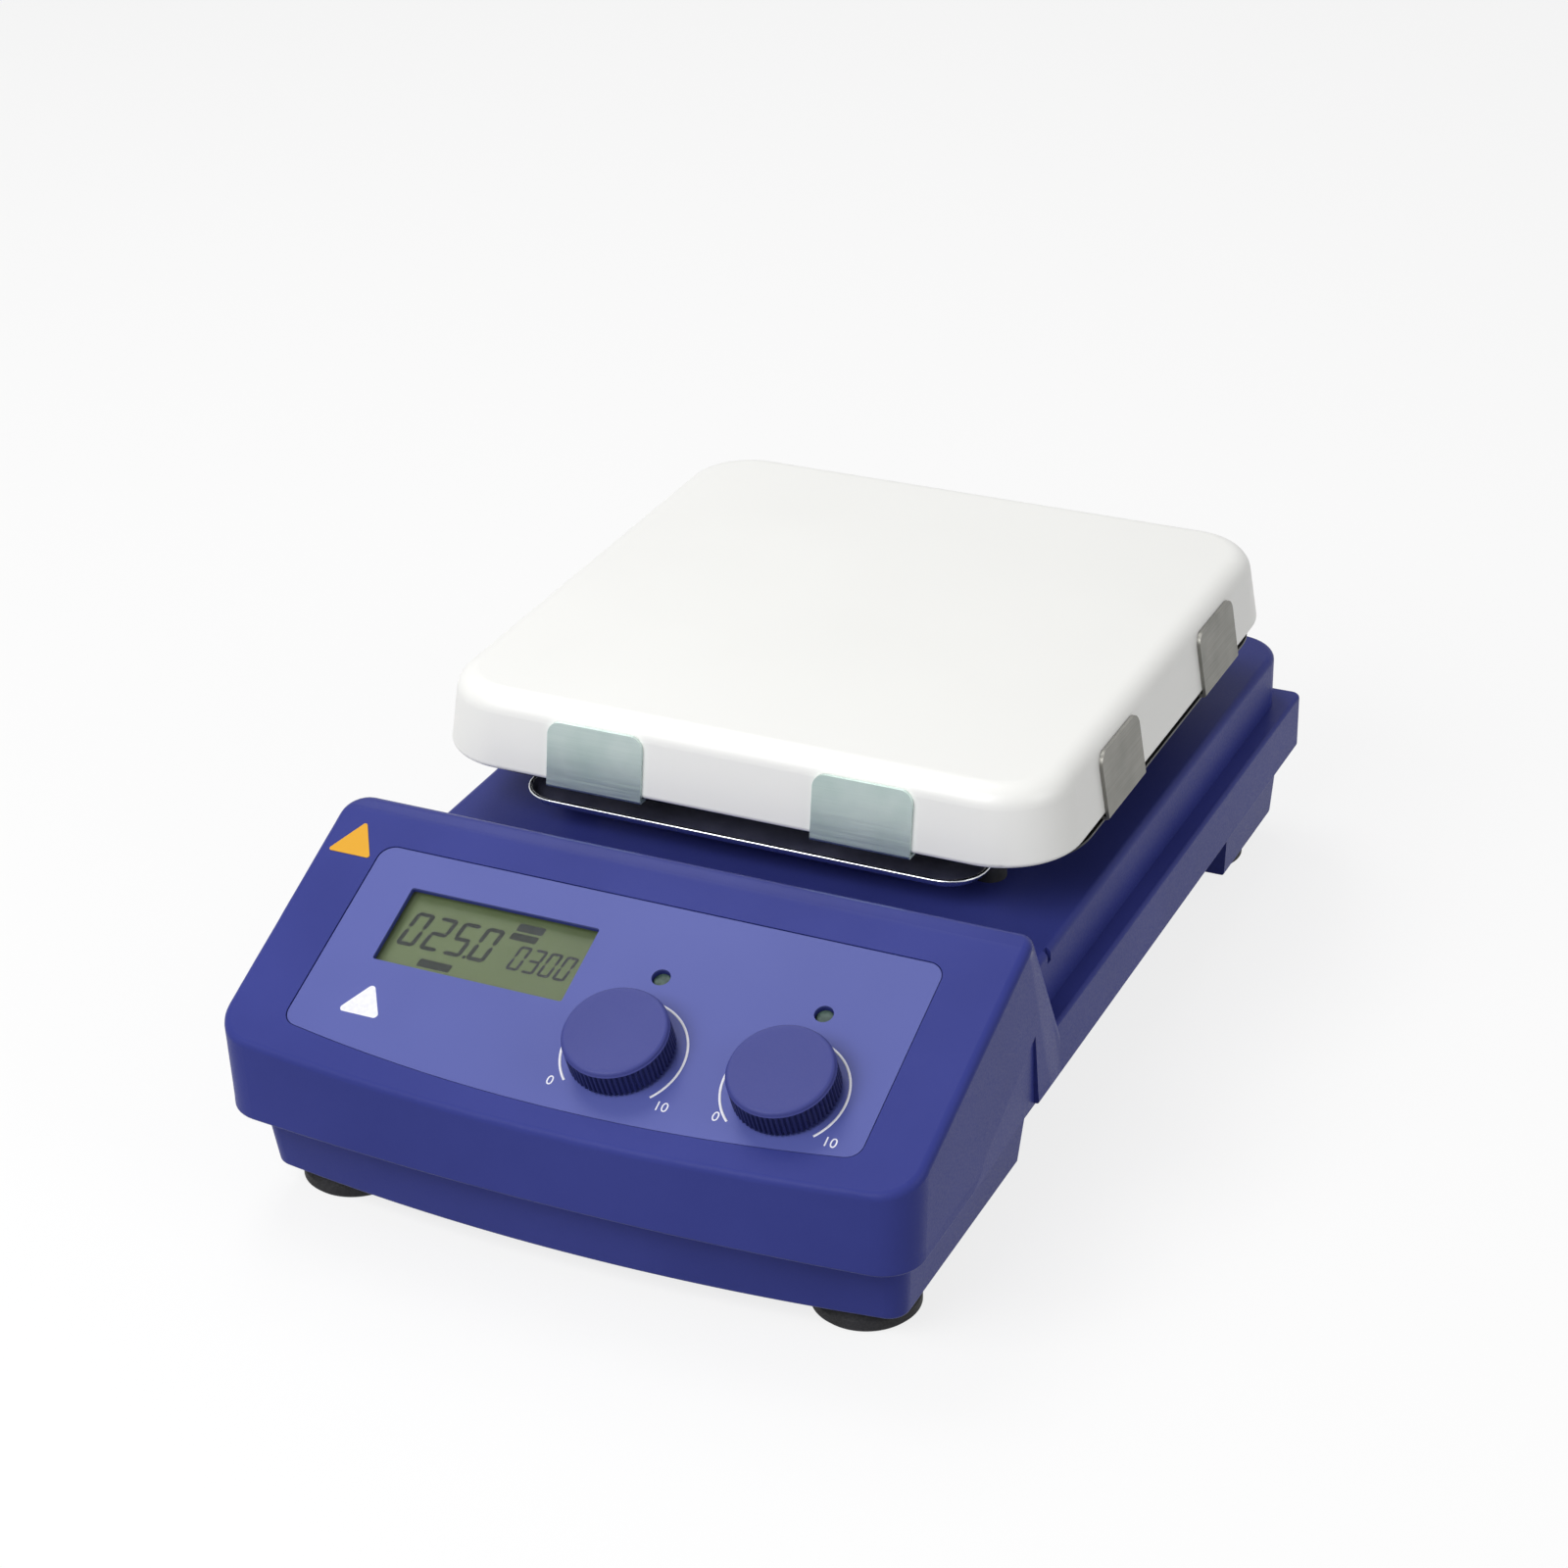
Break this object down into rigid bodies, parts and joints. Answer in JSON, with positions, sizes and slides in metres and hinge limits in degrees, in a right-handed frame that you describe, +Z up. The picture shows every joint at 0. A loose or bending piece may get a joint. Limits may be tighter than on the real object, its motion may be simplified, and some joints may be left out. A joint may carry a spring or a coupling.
{
  "type": "hotplate magnetic stirrer",
  "caption": "Benchtop hotplate stirrer: white square hot plate held by steel clips over a blue housing with a sloping console, display and knurled control knobs.",
  "frame": {"origin": "on the bench plane under the centre of the bounding box", "axes": "+X to the right seen from the console, +Y from the console to the rear, +Z up"},
  "size_m": [0.2112, 0.332, 0.112],
  "materials": {
    "housing_blue": "moulded, fine satin grain, deep blue",
    "overlay_blue": "smooth film with white print",
    "display_glass": "clear pane over the display",
    "display_green": "green-yellow reflective display with dark digits",
    "indicator_lens": "grey-green lens",
    "knob_blue": "moulded, satin",
    "black_plastic": "moulded black",
    "rocker_black": "polished black",
    "patch_yellow": "plain yellow film",
    "coating_white": "glossy white coating",
    "stainless": "brushed stainless sheet",
    "bright_sheet": "bright rolled sheet",
    "screw_steel": "zinc-plated steel",
    "shaft_steel": "ground steel",
    "aluminium": "machined or extruded",
    "magnet_nickel": "nickel-plated magnet",
    "post_ceramic": "dark unglazed ceramic",
    "fibre_white": "pressed ceramic fibre",
    "mica": "mica sheet",
    "board_green": "printed circuit board",
    "motor_grey": "lacquered steel can",
    "panel_grey": "powder-coated sheet",
    "transformer_iron": "laminated iron",
    "contact_brass": "plated brass",
    "fuse_glass": "glass tube with metal ends",
    "foot_rubber": "black moulded rubber"
  },
  "bodies": {
    "housing": {"housing_cover": "housing_blue", "base_pan": "housing_blue", "cover_screws": "screw_steel", "foot_screws": "screw_steel", "foot_front_left": "foot_rubber", "foot_front_right": "foot_rubber", "foot_rear_left": "foot_rubber", "foot_rear_right": "foot_rubber", "panel_overlay": "overlay_blue", "yellow_patch": "patch_yellow", "lcd_lens": "display_glass", "lcd_module": "display_green", "control_board": "board_green", "heat_indicator": "indicator_lens", "stir_indicator": "indicator_lens", "heat_pot": "black_plastic", "stir_pot": "black_plastic", "heat_pot_nut": "contact_brass", "stir_pot_nut": "contact_brass", "top_plate": "coating_white", "heating_element": "mica", "insulation_pad": "fibre_white", "base_sheet": "stainless", "clips_front": "stainless", "clips_right": "stainless", "clips_rear": "stainless", "clips_left": "stainless", "clip_screws": "screw_steel", "heat_shield": "bright_sheet", "plate_posts": "post_ceramic", "post_screws": "screw_steel", "temperature_probe": "stainless", "motor_bracket": "aluminium", "bracket_screws": "screw_steel", "motor_stator": "motor_grey", "lower_bearing": "shaft_steel", "upper_bearing": "shaft_steel", "power_board": "board_green", "heatsink": "aluminium", "transformer": "transformer_iron", "rear_panel": "panel_grey", "power_inlet": "black_plastic", "inlet_blades": "contact_brass", "rocker_frame": "black_plastic", "sensor_socket": "bright_sheet", "sensor_contacts": "contact_brass", "rod_bushing": "stainless"},
    "heat_control": {"heat_knob": "knob_blue", "heat_shaft": "aluminium"},
    "stir_control": {"stir_knob": "knob_blue", "stir_shaft": "aluminium"},
    "switch_rocker": {"power_rocker": "rocker_black"},
    "fuse_tray": {"fuse_drawer": "black_plastic", "fuses": "fuse_glass"},
    "stir_drive": {"motor_shaft": "shaft_steel", "motor_rotor": "motor_grey", "magnet_carrier": "aluminium", "drive_magnets": "magnet_nickel"}
  },
  "joints": [
    {"name": "heat_knob_turn", "type": "hinge", "parent": "housing", "child": "heat_control", "pos_m": [0.0117, -0.13837, 0.06535], "axis": [0, 0.3859, -0.9225], "range_deg": [0, 270]},
    {"name": "stir_knob_turn", "type": "hinge", "parent": "housing", "child": "stir_control", "pos_m": [0.0598, -0.13837, 0.06535], "axis": [0, 0.3859, -0.9225], "range_deg": [0, 270]},
    {"name": "power_rocker_tilt", "type": "hinge", "parent": "housing", "child": "switch_rocker", "pos_m": [0.024, 0.1598, 0.04875], "axis": [-1, 0, 0], "range_deg": [0, 20]},
    {"name": "fuse_drawer_slide", "type": "slide", "parent": "housing", "child": "fuse_tray", "axis": [0, 1, 0], "range_m": [0, 0.016]},
    {"name": "stir_drive_spin", "type": "hinge", "parent": "housing", "child": "stir_drive", "pos_m": [0, 0.0496, 0.063], "axis": [0, 0, 1], "continuous": true}
  ]
}
